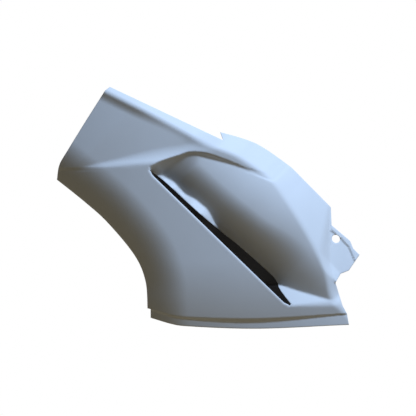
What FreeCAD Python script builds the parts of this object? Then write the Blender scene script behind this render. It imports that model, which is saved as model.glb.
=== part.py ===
import FreeCAD
import Part
import math
import os

V = FreeCAD.Vector

# Left side panel of a motorbike fairing, one moulding of even wall
# X runs rearward, Z up and Y inward; the origin is the centre of the rear fixing hole.
# Along is measured down the vent slot from its front end, across at right angles, up and rearward.

doc = FreeCAD.newDocument("fairing_side_panel")
sheet = doc.addObject("Spreadsheet::Sheet", "sizes")

# Single sizes; a slope is depth gained for each millimetre across
SINGLE = {
    "wall": 3.0,
    "hole_diameter": 15.0,
    "seat_depth": 52.0,
    "seat_slope": 0.33,
    "rim_height": 2.5,
    "slot_start_x": -327.0,
    "slot_start_z": 121.0,
    "slot_angle": 44.1,
    "duct_overlap": 20.0,
    "duct_slope": 0.5,
    "sweep_radius_front": 1700.0,
    "sweep_radius_rear": 2500.0,
    "sweep_start_x": -150.0,
    "roll_depth": 34.0,
    "roll_width": 85.0,
    "tuck_depth_front": 4.0,
    "tuck_depth_rear": 9.0,
    "tuck_width": 60.0,
    "ridge_depth_front": 11.0,
    "ridge_depth_rear": 6.0,
    "ridge_slope": 0.62,
    "cove_depth_front": 7.0,
    "cove_depth_rear": 5.0,
    "cove_slope": 0.9,
    "cove_opening": 9.0,
    "brow_sag": 8.0,
    "brow_slope": 1.5,
    "bulge_curve": 0.0018,
    "bulge_power": 1.9,
    "lobe_slope": 0.7,
    "lobe_height": 2.5,
    "lobe_blend": 5.0,
    "lobe_sink": 6.0,
    "floor_slope": 1.2,
    "flange_slope_front": 1.45,
    "flange_slope_rear": 0.95,
    "fold_slope": 1.2,
    "lip_depth_front": 15.5,
    "lip_depth_middle": 18.0,
    "lip_depth_rear": 20.0,
    "lip_set_front": 5.5,
    "lip_set_rear": 3.5,
    "lip_lean_front": 0.3,
    "lip_lean_rear": 0.05,
    "joggle_step_front": 3.0,
    "joggle_step_middle": 6.0,
    "joggle_step_rear": 3.0,
    "joggle_band_front": 1.5,
    "joggle_band_middle": 8.0,
    "joggle_band_rear": 1.5,
}

# Stations down the slot, each with its distance from the one before
PITCH = {
    "front": 74,
    "start": 78,
    "brow": 40,
    "upper": 60,
    "middle": 70,
    "rear": 35,
    "low": 80,
    "tail": 56,
    "tip": 54,
}
STATIONS = ["nose"] + list(PITCH)

# Sizes that change down the slot, each from its first station on
DOWN = {
    "crest": ("nose", (45, 68, 91, 102, 125.5, 135.5, 129.5, 109, 88.5, 59.5)),
    "bulge_line": ("front", (60, 62, 65, 70, 76, 82, 95, 88, 60)),
    "bulge_level": ("front", (23, 22, 20, 9, 1, 0.5, 0.3, 1.8, 4)),
    "bulge_drop": ("front", (10, 16, 33, 41, 42, 40, 37, 36, 12)),
    "slot_gap": ("brow", (4, 5.5, 10, 13.5, 16.5, 4.5)),
}

# Where a change down the slot begins, and the length it takes
FADE = {
    "ridge_rise": (-100, 85),
    "flange_turn": (-40, 220),
    "brow_turn": (-16, 20),
    "duct_mouth": (-10, 40),
    "cove_turn": (-5, 70),
    "sag_turn": (20, 110),
    "recess_end": (70, 70),
    "lobe_turn": (140, 25),
}

# Places on the outline
PLACE = {
    "nose_crest": (-405, 260),
    "nose_upper": (-438.5, 207.5),
    "nose_lower": (-469.5, 157.5),
    "nose_bend": (-485.5, 130.5),
    "nose_tip": (-490.5, 104),
    "arch_front": (-441.5, 65),
    "arch_upper": (-400.5, 28),
    "arch_middle": (-353.5, -29),
    "arch_lower": (-334.5, -74),
    "arch_foot": (-331, -122),
    "joggle_front": (-268.5, -136),
    "joggle_middle": (-160, -139),
    "joggle_rear": (18.5, -130.5),
    "gusset_foot": (-1.5, -76.5),
    "gusset_tip": (8, -61),
    "fold_foot": (-9, -40.5),
    "fold_middle": (-10, 2),
    "rear_corner": (-8.5, 55.5),
    "shoulder_rear": (-78, 125.5),
    "shoulder_front": (-138.5, 166.5),
    "notch_foot": (-198.5, 173),
    "tab_top": (-7.5, 24),
    "tab_shoulder": (25, -3.5),
    "tab_neck": (30.5, -17),
    "tab_tip": (41.5, -28),
    "tab_heel": (22.5, -55.5),
}

# Places that keep their distance from another place
BESIDE = {
    "nose_top": ("nose_crest", 8.5, 6.5),
    "notch_tip": ("notch_foot", -5, 14.5),
    "tail_edge": ("joggle_rear", -7.5, 13.5),
    "rim_start": ("tab_top", -2, -3.5),
    "rim_bend": ("tab_shoulder", -2, -5),
    "rim_end": ("tab_tip", -8.5, -10),
}

# Ridge and brow line, and the reach of the lobes above the slot, along the slot and across it
BROW = {
    "ridge_nose": (-94, -90.5),
    "ridge_middle": (-51, -47),
    "ridge_end": (-8, -2),
    "brow_rise": (1, 25),
    "brow_shoulder": (14, 58),
    "brow_top": (30, 76.5),
    "brow_back": (82, 105.5),
    "brow_fade": (121, 123),
    "brow_meet": (145, 133.5),
    "brow_away": (300, 185),
}
LOBE = {
    "lobe_root": (0, 2),
    "lobe_rise": (20, 7),
    "lobe_front": (45, 9),
    "lobe_pinch": (62, 6),
    "lobe_rear": (115, 10),
    "lobe_end": (165, 0.2),
}

line = 1


def put(alias, number):
    global line
    sheet.set("A" + str(line), alias.replace("_", " "))
    sheet.set("B" + str(line), str(number))
    sheet.setAlias("B" + str(line), alias)
    line += 1


def from_station(first):
    return STATIONS[STATIONS.index(first) :]


for name, number in SINGLE.items():
    put(name, number)
for station, number in PITCH.items():
    put("pitch_" + station, number)
for name, (first, row) in DOWN.items():
    for station, number in zip(from_station(first), row):
        put(name + "_" + station, number)
for name, (start, reach) in FADE.items():
    put(name + "_start", start)
    put(name + "_reach", reach)
for name, (x, z) in PLACE.items():
    put(name + "_x", x)
    put(name + "_z", z)
for name, (base, dx, dz) in BESIDE.items():
    put(name + "_dx", dx)
    put(name + "_dz", dz)
for name, (s, t) in list(BROW.items()) + list(LOBE.items()):
    put(name + "_along", s)
    put(name + "_across", t)
doc.recompute()

SIZES = {}


def size(alias):
    if alias not in SIZES:
        SIZES[alias] = float(sheet.get(alias))
    return SIZES[alias]


def place(name):
    if name in BESIDE:
        x, z = place(BESIDE[name][0])
        return x + size(name + "_dx"), z + size(name + "_dz")
    return size(name + "_x"), size(name + "_z")


def places(*names):
    return [place(name) for name in names]


def slot_points(names):
    return [(size(name + "_along"), size(name + "_across")) for name in names]


def station_places():
    spots = {"nose": 0.0}
    for before, station in zip(STATIONS, STATIONS[1:]):
        spots[station] = spots[before] + size("pitch_" + station)
    return {station: spot - spots["start"] for station, spot in spots.items()}


AT = station_places()


def table(name):
    first, row = DOWN[name]
    return [(AT[station], size(name + "_" + station)) for station, _ in zip(from_station(first), row)]


WALL = size("wall")
SEAT = size("seat_depth")
TILT = size("seat_slope")
LEAN = math.sqrt(1 + 2 * TILT * TILT)
START = place("slot_start")
TURN = math.radians(size("slot_angle"))
LENGTH = AT["tail"]

# Overlap of the mouldings' joined walls, and how far trimmed stock runs past its outline and back
LAP = 0.5
LAP_SLOPE = 0.12
LAP_REACH = 5.0
TRIM = 24.0
BACK = 900.0
RUN_ON = 90.0
BLOCK_REACH = 300.0


# Curves and soft joins
def to_slot(x, z):
    a = x - START[0]
    b = z - START[1]
    return a * math.cos(TURN) - b * math.sin(TURN), a * math.sin(TURN) + b * math.cos(TURN)


def from_slot(s, t):
    x = START[0] + s * math.cos(TURN) + t * math.sin(TURN)
    z = START[1] - s * math.sin(TURN) + t * math.cos(TURN)
    return x, z


def along(points, s):
    """Height at s of the smooth line through points, without overshoot."""
    last = len(points) - 1
    i = 0
    while i < last - 1 and s > points[i + 1][0]:
        i += 1

    def rise(j):
        return (points[j + 1][1] - points[j][1]) / (points[j + 1][0] - points[j][0])

    def slope(j):
        if j == 0:
            return rise(0)
        if j == last:
            return rise(last - 1)
        if rise(j - 1) * rise(j) <= 0:
            return 0.0
        return 2 * rise(j - 1) * rise(j) / (rise(j - 1) + rise(j))

    (s0, v0), (s1, v1) = points[i], points[i + 1]
    if s < s0:
        return v0 + slope(i) * (s - s0)
    if s > s1:
        return v1 + slope(i + 1) * (s - s1)
    h = s1 - s0
    u = (s - s0) / h
    ends = v0 * (1 + 2 * u) * (1 - u) ** 2 + v1 * u * u * (3 - 2 * u)
    return ends + slope(i) * h * u * (1 - u) ** 2 + slope(i + 1) * h * u * u * (u - 1)


def smooth_line(points, per_span=8):
    """Points on the smooth curve through the given ones."""
    out = []
    for i in range(len(points) - 1):
        p0 = points[max(i - 1, 0)]
        p1 = points[i]
        p2 = points[i + 1]
        p3 = points[min(i + 2, len(points) - 1)]
        for j in range(per_span):
            u = j / per_span
            spot = []
            for c in (0, 1):
                a = 2 * p0[c] - 5 * p1[c] + 4 * p2[c] - p3[c]
                b = 3 * p1[c] - p0[c] - 3 * p2[c] + p3[c]
                spot.append(p1[c] + 0.5 * ((p2[c] - p0[c]) * u + a * u * u + b * u**3))
            out.append(tuple(spot))
    out.append(points[-1])
    return out


def side_of(curve, a, b):
    """Distance from the curve, positive on the left of its direction."""
    best = 1e18
    sign = 1
    last = len(curve) - 2
    for i in range(last + 1):
        ex = curve[i + 1][0] - curve[i][0]
        ez = curve[i + 1][1] - curve[i][1]
        px = a - curve[i][0]
        pz = b - curve[i][1]
        u = (px * ex + pz * ez) / (ex * ex + ez * ez)
        if i > 0:
            u = max(u, 0.0)
        if i < last:
            u = min(u, 1.0)
        gap = (px - u * ex) ** 2 + (pz - u * ez) ** 2
        if gap < best:
            best = gap
            sign = 1 if ex * pz - ez * px >= 0 else -1
    return sign * math.sqrt(best)


def soft_min(a, b, r):
    h = max(r - abs(a - b), 0.0) / r
    return min(a, b) - h * h * r / 4


def ease(u):
    u = min(max(u, 0.0), 1.0)
    return u * u * (3 - 2 * u)


def fade(name, s):
    return ease((s - size(name + "_start")) / size(name + "_reach"))


def mix(a, b, share):
    return a + (b - a) * share


def between(name, share):
    return mix(size(name + "_front"), size(name + "_rear"), share)


def shifted(spot, dx, dz):
    return spot[0] + dx, spot[1] + dz


def run_on(before, end):
    """Spot that lies past end on the straight run from before."""
    share = RUN_ON / math.dist(before, end)
    return mix(end[0], 2 * end[0] - before[0], share), mix(end[1], 2 * end[1] - before[1], share)


# Lines of the form
CREST = table("crest")
TIP = CREST[-1]
TIP_RUN = shifted(TIP, RUN_ON, 0)
CREST.append(TIP_RUN)
BULGE_LINE = table("bulge_line")
BULGE_LEVEL = table("bulge_level")
BULGE_DROP = table("bulge_drop")
GAP = [(0.0, 0.0)] + table("slot_gap")
LOBES = slot_points(LOBE)
ARCH_SPOTS = places("nose_tip", "arch_front", "arch_upper", "arch_middle", "arch_lower", "arch_foot")
ARCH_RUN = [run_on(ARCH_SPOTS[1], ARCH_SPOTS[0])] + ARCH_SPOTS + [run_on(ARCH_SPOTS[-2], ARCH_SPOTS[-1])]
ARCH = smooth_line(ARCH_RUN)
JOGGLE = places("arch_foot", "joggle_front", "joggle_middle", "joggle_rear")
BROW_SPOTS = slot_points(BROW)
RIDGE = [run_on(BROW_SPOTS[1], BROW_SPOTS[0])] + BROW_SPOTS[:3]
BROW_LINE = smooth_line(RIDGE + BROW_SPOTS[3:])
FLOOR = [(LENGTH, 0.0), TIP]
FOLD = [(z, x) for x, z in places("tail_edge", "fold_foot", "rear_corner")]
TOP_EDGE = places("nose_top", "notch_tip", "shoulder_front", "shoulder_rear", "rear_corner")
TOP_EDGE += places("fold_middle", "fold_foot", "gusset_tip", "tail_edge")
TOP_EDGE = [to_slot(x, z) for x, z in TOP_EDGE]
LOW_EDGE = [to_slot(x, z) for x, z in ARCH_SPOTS + JOGGLE[1:]]


# Depth of the front skin, rolled in to the wheel arch and tucked in to the joggle
def front_skin(x, z):
    sweep = x - size("sweep_start_x")
    y = sweep * sweep / (2 * size("sweep_radius_front" if sweep < 0 else "sweep_radius_rear"))
    y += size("roll_depth") * max(0.0, 1 - side_of(ARCH, x, z) / size("roll_width")) ** 2
    share = min(max((x - JOGGLE[0][0]) / (JOGGLE[-1][0] - JOGGLE[0][0]), 0.0), 1.0)
    tuck = between("tuck_depth", share)
    return y + tuck * max(0.0, 1 - (z - along(JOGGLE, x)) / size("tuck_width")) ** 2


def gap_at(s):
    return along(GAP, min(max(s, 0.0), LENGTH))


# Depth of the bulge, the lobes above the slot and the duct behind it
def bulge(s, t):
    line_at = along(BULGE_LINE, s)
    level = along(BULGE_LEVEL, s)
    gap = gap_at(s)

    def trough(across):
        share = (line_at - across) / (line_at - gap)
        return level + along(BULGE_DROP, s) * share ** size("bulge_power")

    inside = max(t, gap)
    if inside < line_at:
        y = trough(inside)
    else:
        y = level + size("bulge_curve") * (inside - line_at) ** 2
    if LOBES[0][0] - LAP_REACH < s < LOBES[-1][0]:
        foot = gap + along(LOBES, s)
        lobe = trough(foot) + size("lobe_slope") * (inside - foot) + size("lobe_height")
        y = soft_min(y, lobe + size("lobe_sink") * fade("lobe_turn", s), size("lobe_blend"))
    return y + size("duct_slope") * max(gap - t, 0.0)


# Depth of the ridge and cove that run from the nose to above the vent
def ridge_recess(s, above, below, late):
    near = size("ridge_depth_front") * fade("ridge_rise", s)
    near += (size("ridge_depth_rear") - size("ridge_depth_front")) * late
    share = min(max(above / max(above + below, LAP), 0.0), 1.0)
    deep = mix(near, between("cove_depth", late), share)
    recess = soft_min(size("ridge_slope") * above, deep, LAP + max(deep, 0.0) / 2)
    cove = size("cove_slope") * below + size("cove_opening") * fade("cove_turn", s)
    recess = soft_min(recess, cove, LAP + max(recess, 0.0) / 2)
    return min(recess, recess * (1 - fade("recess_end", s)))


# Each form of the upper skin is one smooth depth; where two forms cross they meet in a crisp edge
def skin_at(s, t):
    return front_skin(*from_slot(s, t))


def brow_level(s, t):
    return skin_at(s, t) + size("brow_sag") * fade("sag_turn", s)


def ridge_form(s, t):
    above = side_of(BROW_LINE, s, t)
    below = max(along(CREST, s) - t, 0.0)
    return brow_level(s, t) + ridge_recess(s, above, below, fade("sag_turn", s))


def brow_form(s, t):
    steep = mix(LAP_SLOPE, size("brow_slope"), fade("brow_turn", s))
    return brow_level(s, t) + LAP - steep * side_of(BROW_LINE, s, t)


def floor_form(s, t):
    inside = side_of(FLOOR, s, t)
    slope = size("floor_slope") if inside > 0 else -LAP_SLOPE
    return skin_at(s, t) + LAP + slope * inside


def main_form(s, t):
    vent = min(bulge(s, t), brow_form(s, t), floor_form(s, t))
    return max(ridge_form(s, t), vent)


def flange_form(s, t):
    crest = along(CREST, s)
    lean = (along(CREST, s + 1) - along(CREST, s - 1)) / 2
    slope = between("flange_slope", fade("flange_turn", s)) / math.sqrt(1 + lean * lean)
    return main_form(s, crest) + slope * (t - crest)


def seat_form(s, t):
    x, z = from_slot(s, t)
    return SEAT + TILT * (x + z) - WALL / 2 * LEAN + LAP


def fold_form(s, t):
    x, z = from_slot(s, t)
    return seat_form(s, t) + size("fold_slope") * (x - along(FOLD, z))


# Knots an even step apart, and the spots of the poles that keep an even pace along them
def knots(low, high, step):
    count = max(round((high - low) / step), 1)
    return [mix(low, high, i / count) for i in range(count + 1)]


def pole_spots(marks):
    full = [marks[0]] * 3 + marks + [marks[-1]] * 3
    return [sum(full[i + 1 : i + 4]) / 3 for i in range(len(marks) + 2)]


# A smooth skin over the slot's axes, set back along its normals
def smooth_skin(form, reach, step, back):
    half = 0.5
    steepest = 1.8
    marks = [knots(low, high, pace) for (low, high), pace in zip(reach, step)]
    poles = []
    for s in pole_spots(marks[0]):
        line = []
        for t in pole_spots(marks[1]):
            rise_s = form(s + half, t) - form(s - half, t)
            rise_t = form(s, t + half) - form(s, t - half)
            thick = back * min(math.sqrt(1 + rise_s * rise_s + rise_t * rise_t), steepest)
            x, z = from_slot(s, t)
            line.append(V(x, form(s, t) + thick - SEAT, z))
        poles.append(line)
    mults = [[4] + [1] * (len(line) - 2) + [4] for line in marks]
    skin = Part.BSplineSurface()
    skin.buildFromPolesMultsKnots(poles, *mults, *marks, False, False, 3, 3)
    return skin.toShape()


def closed(faces):
    shell = Part.makeShell(faces)
    shell.sewShape()
    solid = Part.makeSolid(shell)
    if solid.Volume < 0:
        solid.reverse()
    return solid


# All that lies behind a form, to a flat back; run sets the sides and the back apart from those of other forms
def behind(form, reach, step, back, run):
    wide = [(low - run, high + run) for low, high in reach]
    front = smooth_skin(form, wide, step, back)
    flat = smooth_skin(lambda s, t: BACK + run, wide, [high - low for low, high in wide], 0.0)
    return closed([front, flat] + [Part.makeRuledSurface(*pair) for pair in zip(front.Edges, flat.Edges)])


# A skin of even wall as a closed solid
def sheet_solid(form, reach, step):
    pair = [smooth_skin(form, reach, step, back) for back in (0.0, WALL)]
    return closed(pair + [Part.makeRuledSurface(*edges) for edges in zip(pair[0].Edges, pair[1].Edges)])


def spread(low, high, shares):
    return [mix(low, high, share) for share in shares]


def shape_object(name, shape):
    item = doc.addObject("Part::Feature", name)
    item.Label = name
    item.Shape = shape
    return item


# Outlines, each a closed wire in the X-Z plane made a prism along Y
def at(spot):
    return V(spot[0], 0, spot[1])


def lines(spots):
    corners = [at(spot) for spot in spots]
    return [Part.LineSegment(a, b).toShape() for a, b in zip(corners, corners[1:])]


def curve(spots):
    spline = Part.BSplineCurve()
    spline.interpolate([at(spot) for spot in spots])
    return [spline.toShape()]


def prism(name, edges):
    wire = shape_object(name + "_line", Part.Wire(edges))
    block = doc.addObject("Part::Extrusion", name)
    block.Base = wire
    block.DirMode = "Custom"
    block.Dir = V(0, 1, 0)
    block.Solid = True
    block.LengthFwd = BLOCK_REACH
    block.LengthRev = BLOCK_REACH
    return block


def fused(name, shapes):
    joined = doc.addObject("Part::MultiFuse", name)
    joined.Shapes = shapes
    return joined


def common(name, shapes):
    shared = doc.addObject("Part::MultiCommon", name)
    shared.Shapes = shapes
    return shared


def cut(name, base, tool):
    rest = doc.addObject("Part::Cut", name)
    rest.Base = base
    rest.Tool = tool
    return rest


# Reach of the stock down the slot and across it, and the pace of each form's knots in the same order
DOWN_REACH = (AT["nose"] - TRIM, AT["tip"] + 2 * TRIM)
TOP_REACH = max(t for s, t in TOP_EDGE) + TRIM
LOW_REACH = min(t for s, t in LOW_EDGE) - TRIM
FRONT_REACH = (DOWN_REACH, (LOW_REACH, TOP_REACH))
UPPER_REACH = (DOWN_REACH, (RIDGE[0][1], TOP_REACH))
VENT_REACH = ((size("flange_turn_start"), DOWN_REACH[1]), (-2 * size("duct_overlap"), TOP_REACH))
PACE = {
    "front": (32, 20),
    "bulge": (24, 10),
    "brow": (14, 14),
    "floor": (40, 16),
    "ridge": (18, 11),
    "flange": (20, 60),
    "fold": (40, 40),
    "seat": (400, 400),
}


# The upper stock: what lies behind the ridge, the flange, the vent and the fold to the rear tab
def upper_stock(name, back, first_run):
    def form_block(label, form, reach):
        run = first_run + list(PACE).index(label) * LAP_REACH
        return shape_object(name + "_" + label, behind(form, reach, PACE[label], back, run))

    bulge_block = form_block("bulge", bulge, VENT_REACH)
    brow_block = form_block("brow", brow_form, UPPER_REACH)
    floor_block = form_block("floor", floor_form, VENT_REACH)
    vent = fused(name + "_vent", [bulge_block, brow_block, floor_block])
    ridge_block = form_block("ridge", ridge_form, UPPER_REACH)
    flange_block = form_block("flange", flange_form, UPPER_REACH)
    skin = common(name + "_skin", [ridge_block, flange_block, vent])
    fold_block = form_block("fold", fold_form, UPPER_REACH)
    seat_block = form_block("seat", seat_form, UPPER_REACH)
    return common(name, [skin, fused(name + "_tail", [fold_block, seat_block])])


outside = upper_stock("outside", 0.0, 0.0)
inside = upper_stock("inside", WALL, len(PACE) * LAP_REACH)
upper_sheet = cut("upper_sheet", outside, inside)
front_sheet = shape_object("front_sheet", sheet_solid(skin_at, FRONT_REACH, PACE["front"]))


# The skins trimmed where they meet: the front one at the seam, the upper one a lap behind it and in the duct
def slot_lines(spots):
    corners = [from_slot(s, t) for s, t in spots]
    return lines(corners + corners[:1])


def run_to(t):
    return [(TIP_RUN[0], t), (RIDGE[0][0], t)]


MOUTH = size("duct_mouth_start") + size("duct_mouth_reach")
seam_spots = RIDGE + [(0.0, 0.0), (LENGTH, 0.0), TIP, TIP_RUN]
duct_spots = [(MOUTH, -size("duct_overlap")), (LENGTH - MOUTH, -size("duct_overlap")), (LENGTH, -LAP_REACH)]
lap_spots = [shifted(spot, 0, -LAP_REACH) for spot in RIDGE] + duct_spots
lap_spots += [shifted(spot, 0, -LAP_REACH) for spot in (TIP, TIP_RUN)]
front = common("front_skin", [front_sheet, prism("front_block", slot_lines(seam_spots + run_to(LOW_REACH)))])
upper = common("upper_skin", [upper_sheet, prism("upper_block", slot_lines(lap_spots + run_to(TOP_REACH)))])

# Outline of the whole moulding above the lip
body_edges = lines(places("nose_top", "notch_foot", "notch_tip"))
body_edges += curve(places("notch_tip", "shoulder_front", "shoulder_rear"))
body_edges += lines(places("shoulder_rear", "rear_corner"))
body_edges += curve(places("rear_corner", "fold_middle", "fold_foot"))
body_edges += lines(places("fold_foot", "gusset_tip", "gusset_foot", "tail_edge", "joggle_rear"))
body_edges += curve(JOGGLE[::-1])
body_edges += curve(ARCH_SPOTS[::-1])
body_edges += curve(places("nose_tip", "nose_bend", "nose_lower", "nose_upper", "nose_crest"))
body_edges += lines(places("nose_crest", "nose_top"))

body = common("body", [fused("skins", [front, upper]), prism("body_block", body_edges)])

# Lower lip, set back past a joggle so that the next panel can cover it
LIP_FRONT = JOGGLE[0][0] + size("lip_set_front")
LIP_REAR = JOGGLE[-1][0] + size("lip_set_rear")
LIP_MARKS = (LIP_FRONT, JOGGLE[2][0], LIP_REAR)
LIP_SHARES = (0, 0.08, 0.2, 0.4, 0.6, 0.8, 1)


def down_lip(name, x):
    parts = [size(name + "_" + part) for part in ("front", "middle", "rear")]
    return along(list(zip(LIP_MARKS, parts)), x)


def lip_foot(x):
    return along(JOGGLE, x) - down_lip("lip_depth", x)


def lip_section(x):
    top = along(JOGGLE, x)
    band = down_lip("joggle_band", x)
    foot = lip_foot(x) - LAP_REACH
    share = (x - LIP_FRONT) / (LIP_REAR - LIP_FRONT)
    seam_y = front_skin(x, top) + LAP - SEAT
    upper_y = front_skin(x, top + LAP_REACH) + LAP - SEAT
    step_y = seam_y + down_lip("joggle_step", x)
    foot_y = step_y + between("lip_lean", share) * (top - band - foot)
    outer = [(upper_y, top + LAP_REACH), (seam_y, top + LAP), (step_y, top - band), (foot_y, foot)]
    inner = [(y + WALL, z) for y, z in reversed(outer)]
    spots = [V(x, y, z) for y, z in outer + inner]
    return Part.makePolygon(spots + spots[:1])


lip_strip = doc.addObject("Part::Loft", "lip_strip")
strip_ends = (LIP_FRONT - LAP_REACH, LIP_REAR + LAP_REACH)
lip_strip.Sections = [shape_object("lip_section", lip_section(x)) for x in spread(*strip_ends, LIP_SHARES)]
lip_strip.Solid = True
lip_strip.Ruled = False

under = 4 / 5 * LAP_REACH
front_corner = (LIP_FRONT, lip_foot(LIP_FRONT))
rear_corner = (LIP_REAR, lip_foot(LIP_REAR))
rear_top = shifted(JOGGLE[-1], -LAP, under)
front_top = (LIP_FRONT, along(JOGGLE, LIP_FRONT) + under)
top_rows = spread(rear_top[0], LIP_FRONT, LIP_SHARES[1:-1])
lip_edges = curve([(x, lip_foot(x)) for x in spread(LIP_FRONT, LIP_REAR, LIP_SHARES)])
lip_edges += lines([rear_corner, JOGGLE[-1], rear_top])
lip_edges += curve([rear_top] + [(x, along(JOGGLE, x) + under) for x in top_rows] + [front_top])
lip_edges += lines([front_top, front_corner])
lip = common("lip", [lip_strip, prism("lip_block", lip_edges)])

# Rear tab, a flat leaning seat with a raised rim and a hole for a grommet
INWARD = V(-TILT, 1, -TILT).normalize()
LEANING = FreeCAD.Rotation(V(0, 1, 0), INWARD)


def leaning_plate(name, thickness, proud):
    plate = doc.addObject("Part::Box", name)
    plate.setExpression("Width", thickness)
    plate.Length = BLOCK_REACH
    plate.Height = BLOCK_REACH
    corner = V(-BLOCK_REACH / 2, -WALL / 2 - proud, -BLOCK_REACH / 2)
    plate.Placement = FreeCAD.Placement(LEANING.multVec(corner), LEANING)
    return plate


fold_low = shifted(place("fold_foot"), -LAP_REACH, -LAP_REACH)
fold_high = (place("fold_middle")[0] - LAP_REACH, place("tab_top")[1] - LAP_REACH)
gusset = shifted(place("gusset_tip"), -LAP, -LAP_REACH / 2)
seat_edges = lines(places("tab_top", "tab_shoulder", "tab_neck", "tab_tip", "tab_heel"))
seat_edges += lines([place("tab_heel"), gusset, fold_low, fold_high, place("tab_top")])
seat = common("tab_seat", [leaning_plate("seat_plate", "sizes.wall", 0), prism("seat_block", seat_edges)])

rim_spots = places("tab_top", "tab_shoulder", "tab_neck", "tab_tip", "rim_end", "rim_bend", "rim_start")
rim_plate = leaning_plate("rim_plate", "sizes.wall + sizes.rim_height", size("rim_height"))
rim = common("tab_rim", [rim_plate, prism("rim_block", lines(rim_spots + rim_spots[:1]))])

hole = doc.addObject("Part::Cylinder", "fixing_hole")
hole.setExpression("Radius", "sizes.hole_diameter / 2")
hole.Height = TRIM
hole.Placement = FreeCAD.Placement(INWARD * (-TRIM / 2), FreeCAD.Rotation(V(0, 0, 1), INWARD))

panel = cut("panel", fused("whole", [body, lip, seat, rim]), hole)
panel.Label = "fairing_side_panel"
doc.recompute()

# Check and export
for item in doc.Objects:
    if "Invalid" in item.State or "Error" in item.State:
        raise RuntimeError(item.Label + " did not compute")
if panel.Shape.isNull() or not panel.Shape.isValid() or len(panel.Shape.Solids) != 1:
    raise RuntimeError(panel.Label + " is not one valid solid")
os.makedirs("parts", exist_ok=True)
panel.Shape.exportStep("parts/" + panel.Label + ".step")
box = panel.Shape.optimalBoundingBox()
print(panel.Label, "mm", round(box.XLength, 1), round(box.YLength, 1), round(box.ZLength, 1))
print("volume", round(panel.Shape.Volume), "faces", len(panel.Shape.Faces))
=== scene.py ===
# %% [markdown]
# # A fairing side panel
# The object is one painted plastic moulding from the left side of a motorbike. It is a thin shell with a
# wheel arch, a ridge that runs back from the nose, a sculpted vent with a slot, a stepped lower lip and a
# rear tab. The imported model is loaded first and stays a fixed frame: everything below is placed by its
# axes.

# %% Load the frame
import math

import bmesh
import bpy
import numpy as np
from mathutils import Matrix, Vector, kdtree
from mathutils.geometry import delaunay_2d_cdt


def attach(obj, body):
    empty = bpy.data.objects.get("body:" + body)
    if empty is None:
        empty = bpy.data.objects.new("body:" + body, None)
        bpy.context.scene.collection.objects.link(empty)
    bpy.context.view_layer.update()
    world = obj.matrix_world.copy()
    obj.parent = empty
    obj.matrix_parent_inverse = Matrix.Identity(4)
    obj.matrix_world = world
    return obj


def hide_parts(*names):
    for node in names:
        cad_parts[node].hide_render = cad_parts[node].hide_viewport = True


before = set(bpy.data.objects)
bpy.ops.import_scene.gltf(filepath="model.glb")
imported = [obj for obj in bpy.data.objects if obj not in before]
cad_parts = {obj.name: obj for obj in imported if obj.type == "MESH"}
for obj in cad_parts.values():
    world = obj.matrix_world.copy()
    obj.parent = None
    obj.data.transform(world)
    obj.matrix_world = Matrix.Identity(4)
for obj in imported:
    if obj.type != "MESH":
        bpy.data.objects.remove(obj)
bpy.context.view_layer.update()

NODE = "fairing_side_panel"
MM = 0.001

# %% [markdown]
# ## Lines of the form
# A stylist draws such a panel as a few character lines and lets the surface flow between them. The same
# lines are named here in millimetres, seen from the side: x runs rearward and z up. The vent has axes of
# its own, s down along its slot and t across it, because every section of the vent is square to the slot.

# %% Slot axes
WALL = 3.0
SLOT_START = (-327.0, 121.0)
SLOT_TURN = math.radians(44.1)
SLOT_COS, SLOT_SIN = math.cos(SLOT_TURN), math.sin(SLOT_TURN)


def to_slot(x, z):
    a = x - SLOT_START[0]
    b = z - SLOT_START[1]
    return a * SLOT_COS - b * SLOT_SIN, a * SLOT_SIN + b * SLOT_COS


def from_slot(s, t):
    x = SLOT_START[0] + s * SLOT_COS + t * SLOT_SIN
    z = SLOT_START[1] - s * SLOT_SIN + t * SLOT_COS
    return x, z


print("slot frame there and back", [round(v, 6) for v in from_slot(*to_slot(-100.0, 50.0))])


# %% Smooth lines
def along(points, s):
    """Height at s of the smooth line through points, without overshoot and straight past its ends."""
    xs, ys = np.array(points, float).T
    rise = np.diff(ys) / np.diff(xs)
    before, after = rise[:-1], rise[1:]
    total = np.where(before + after == 0, 1, before + after)
    slope = np.concatenate([rise[:1], np.where(before * after > 0, 2 * before * after / total, 0), rise[-1:]])
    i = np.clip(np.searchsorted(xs, s) - 1, 0, len(xs) - 2)
    h = xs[i + 1] - xs[i]
    u = (s - xs[i]) / h
    c = np.clip(u, 0, 1)
    level = ys[i] * (1 + 2 * c) * (1 - c) ** 2 + ys[i + 1] * c * c * (3 - 2 * c)
    level += h * (slope[i] * c * (1 - c) ** 2 + slope[i + 1] * c * c * (c - 1))
    return level + h * (slope[i] * np.minimum(u, 0) + slope[i + 1] * np.maximum(u - 1, 0))


def smooth_line(points, per_span=8):
    """Points on the smooth curve through the given ones."""
    ends = np.array([points[0], *points, points[-1]], float)
    p0, p1, p2, p3 = ends[:-3, None], ends[1:-2, None], ends[2:-1, None], ends[3:, None]
    u = (np.arange(per_span) / per_span)[None, :, None]
    bend = 2 * p0 - 5 * p1 + 4 * p2 - p3
    twist = 3 * p1 - p0 - 3 * p2 + p3
    curve = p1 + 0.5 * ((p2 - p0) * u + bend * u**2 + twist * u**3)
    return np.vstack([curve.reshape(-1, 2), ends[-1:]])


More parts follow.
